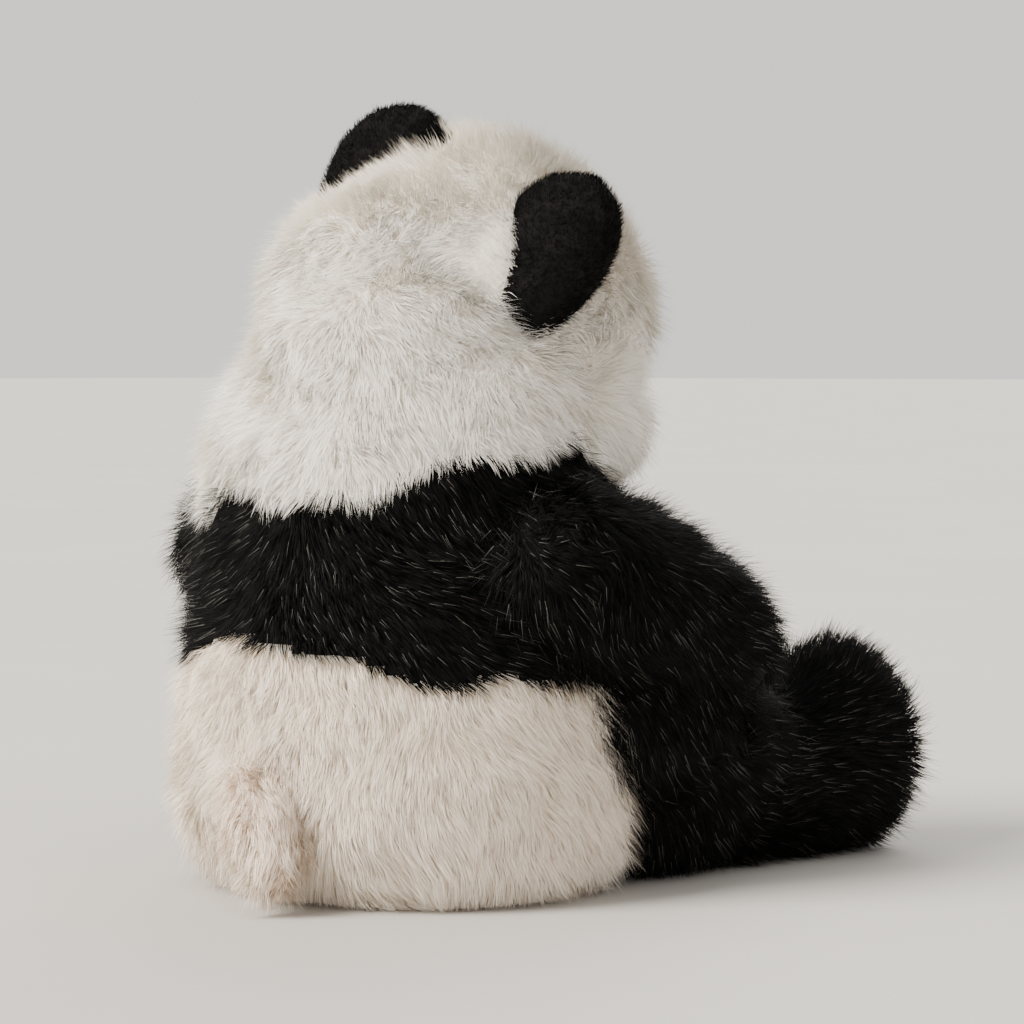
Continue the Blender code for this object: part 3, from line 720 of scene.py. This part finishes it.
def make_head():
    shape = bmesh.new()
    add_loft(shape, HEAD_ROWS, HEAD_PLACE, muzzle_swell, rings=32, around=56)
    add_lump(shape, HEAD_BACK)
    add_lump(shape, CROWN_BACK)
    add_lump(shape, FOREHEAD, place=HEAD_PLACE)
    for side in SIDES.values():
        add_lump(shape, CHEEK, side, HEAD_PLACE)
    skin = merged_skin("head_skin", shape, voxel=0.0028, smoothing=10)
    sewn = ["face_left", "face_right", "head_back_left", "head_back_right", "forehead_strip",
            "muzzle", "chin"]
    dress(skin, WHITE_CLOTH, "head", sewn)

    eyes = ["eye_left", "eye_right"]

    def white(points):
        bare = near(points, eyes, EYE_BARE) | near(points, ["nose"], NOSE_BARE)
        return ~(bare | round_eye(points) | under_ear(points))

    def black(points):
        return in_patch(points) & ~near(points, eyes, PUPIL_BARE)

    grow_pile("head_pile", skin, WHITE_LOOK | {"comb": comb_head, "lift": 42}, "head", 104,
              keep=white, length_at=head_length, lift_at=crown_lift)
    grow_pile("eye_patch_pile", skin, EAR_LOOK | {"comb": comb_head}, "head", 105, keep=black)


def crown_lift(points):
    """Pile stands up on the crown."""
    return 1 + CROWN_LIFT * np.clip((points[:, 2] - CROWN) / CROWN_SPAN, 0, 1)


def ear_place(side):
    """The root of an ear skin, which stands a little further back than the CAD ear."""
    return (
        HEAD_PLACE
        @ Matrix.Translation((side * 0.0393, 0.0348, 0.014))
        @ Matrix.Rotation(math.radians(14), 4, "X")
        @ Matrix.Rotation(side * math.radians(8), 4, "Y")
        @ Matrix.Rotation(side * math.radians(5), 4, "Z")
    )


def make_ears():
    for name, side in SIDES.items():
        shape = bmesh.new()
        add_loft(shape, EAR_ROWS, ear_place(side))
        skin = merged_skin(f"ear_{name}_skin", shape, voxel=0.0022, smoothing=6)
        dress(skin, EAR_CLOTH, "head", [f"ear_front_{name}", f"ear_back_{name}"])
        axis = ear_place(side).to_3x3() @ Vector((0, 0, 1))
        combed = EAR_LOOK | {"comb": comb_along(axis)}
        grow_pile(f"ear_{name}_pile", skin, combed, "head", 110 + side)


def make_tail():
    shape = bmesh.new()
    aside = Matrix.Rotation(math.radians(42), 4, "Y")
    down = Matrix.Rotation(math.radians(-149), 4, "X")
    place = Matrix.Translation(TAIL_ROOT) @ aside @ down
    add_loft(shape, TAIL_ROWS, place)
    skin = merged_skin("tail_skin", shape, voxel=0.002, smoothing=4)
    dress(skin, WHITE_CLOTH, "torso", ["tail_upper_panel", "tail_under_panel"])
    axis = place.to_3x3() @ Vector((0, 0, 1))
    # The tail's darker, warmer pile is painted shade and bounce light.
    grow_pile("tail_pile", skin, SHADED_TAIL_LOOK | {"comb": comb_along(axis)}, "torso", 120)


def limb_place(pivot, side, spread, drop):
    """A limb's own frame: its length runs along +Z, and its upper side is towards +Y."""
    forwards = Matrix.Rotation(math.pi / 2, 4, "X")
    return (
        Matrix.Translation(pivot)
        @ Matrix.Rotation(side * math.radians(spread), 4, "Z")
        @ Matrix.Rotation(math.radians(drop), 4, "X")
        @ forwards
    )


def limb_local(place, points):
    return (points - np.array(place.translation)) @ np.array(place.to_3x3())


def make_arm(name, side):
    place = limb_place(PIVOT[f"arm_swing_{name}"], side, spread=3, drop=22)
    body = f"arm_{name}"
    shape = bmesh.new()
    add_loft(shape, ARM_ROWS, Matrix.Translation((-side * ARM_INSET, 0, 0)) @ place)
    skin = merged_skin(f"arm_{name}_skin", shape)

    def on_pad(points):
        local = limb_local(place, points)
        return (local[:, 2] > PAD_START) & (local[:, 1] < PAD_UNDER)

    pad = split_off(skin, f"paw_{name}_pad", on_pad)
    dress(skin, BLACK_CLOTH, body, [f"arm_upper_{name}", f"arm_under_{name}"])
    dress(pad, SUEDE, body, [f"paw_pad_{name}"])
    axis = place.to_3x3() @ Vector((0, -0.35, 1))
    combed = BLACK_LOOK | {"comb": comb_limb(axis, place.translation)}
    grow_pile(f"arm_{name}_pile", skin, combed, body, 130 + side)


def make_leg(name, side):
    place = limb_place(PIVOT[f"leg_splay_{name}"], side, spread=7, drop=0)
    body = f"leg_{name}"
    shape = bmesh.new()
    add_loft(shape, LEG_ROWS, place)
    add_lump(shape, THIGH_BACK, side)
    add_lump(shape, THIGH_FRONT, side)
    skin = merged_skin(f"leg_{name}_skin", shape)

    def on_sole(points):
        return limb_local(place, points)[:, 2] > SOLE_START

    sole = split_off(skin, f"foot_{name}_sole", on_sole)
    dress(skin, BLACK_CLOTH, body, [f"leg_upper_{name}", f"leg_under_{name}"])
    dress(sole, SUEDE, body, [f"foot_sole_{name}"])
    axis = place.to_3x3() @ Vector((0, 0, 1))
    combed = BLACK_LOOK | {"comb": comb_limb(axis, place.translation)}
    grow_pile(f"leg_{name}_pile", skin, combed, body, 140 + side)


def paint_cad():
    """Looks for the CAD pieces that show as they are: the filling, the pouch, the eyes and nose."""
    for name, thing in frame["nodes"].items():
        if "stuffing" in name:
            material = FIBRE
        elif name == "pellet_pouch":
            material = COTTON
        elif "washer" in name:
            material = NYLON
        elif name == "mouth_stitching":
            material = THREAD
        elif name.startswith("eye_patch"):
            material = EAR_CLOTH
        elif name.startswith("eye_") or name == "nose":
            material = GLOSS
        else:
            continue
        thing.data.materials.clear()
        thing.data.materials.append(material)


# ---------------------------------------------------------------- studio

def add_sun(name, towards, strength, spread, colour):
    """A distant lamp that shines evenly on the whole floor."""
    data = bpy.data.lights.new(name, "SUN")
    data.energy = strength
    data.angle = math.radians(spread)
    data.color = colour
    lamp = bpy.data.objects.new(name, data)
    bpy.context.scene.collection.objects.link(lamp)
    lamp.rotation_mode = "QUATERNION"
    lamp.rotation_quaternion = Vector(towards).to_track_quat("Z", "Y")
    return lamp


def from_side(azimuth, elevation, distance=1.0):
    a, e = math.radians(azimuth), math.radians(elevation)
    return distance * Vector((math.sin(a) * math.cos(e), -math.cos(a) * math.cos(e), math.sin(e)))


def make_studio():
    target = Vector((-0.032, 0.0302, 0.144))
    azimuth, elevation, distance, lens = 222, 2.5, 1.3, 118
    data = bpy.data.cameras.new("camera")
    data.lens = lens
    camera = bpy.data.objects.new("camera", data)
    bpy.context.scene.collection.objects.link(camera)
    camera.location = target + from_side(azimuth, elevation, distance)
    camera.rotation_mode = "QUATERNION"
    camera.rotation_quaternion = (target - camera.location).to_track_quat("-Z", "Y")
    bpy.context.scene.camera = camera
    add_sun("key", from_side(azimuth - 62, 38), strength=7.6, spread=30, colour=(1.0, 0.96, 0.89))
    add_sun("front", from_side(25, 40), strength=1.3, spread=40, colour=(1.0, 0.98, 0.95))
    world = bpy.data.worlds.new("studio")
    world.use_nodes = True
    world.node_tree.nodes["Background"].inputs["Color"].default_value = (1.0, 0.98, 0.95, 1)
    world.node_tree.nodes["Background"].inputs["Strength"].default_value = 1.1
    bpy.context.scene.world = world
    mesh = bpy.data.meshes.new("floor")
    reach = 40.0
    corners = [(-reach, -reach, 0), (reach, -reach, 0), (reach, reach, 0), (-reach, reach, 0)]
    mesh.from_pydata(corners, [], [(0, 1, 2, 3)])
    floor = bpy.data.objects.new("floor", mesh)
    bpy.context.scene.collection.objects.link(floor)
    mesh.materials.append(grained("floor_paper", (0.50, 0.475, 0.44), (0.53, 0.505, 0.47), 3, 0.8, 0.0002))


def write_sizes():
    bpy.context.view_layer.update()


make_torso()
make_head()
make_ears()
make_tail()
for side_name, side_sign in SIDES.items():
    make_arm(side_name, side_sign)
    make_leg(side_name, side_sign)
paint_cad()
make_studio()
write_sizes()
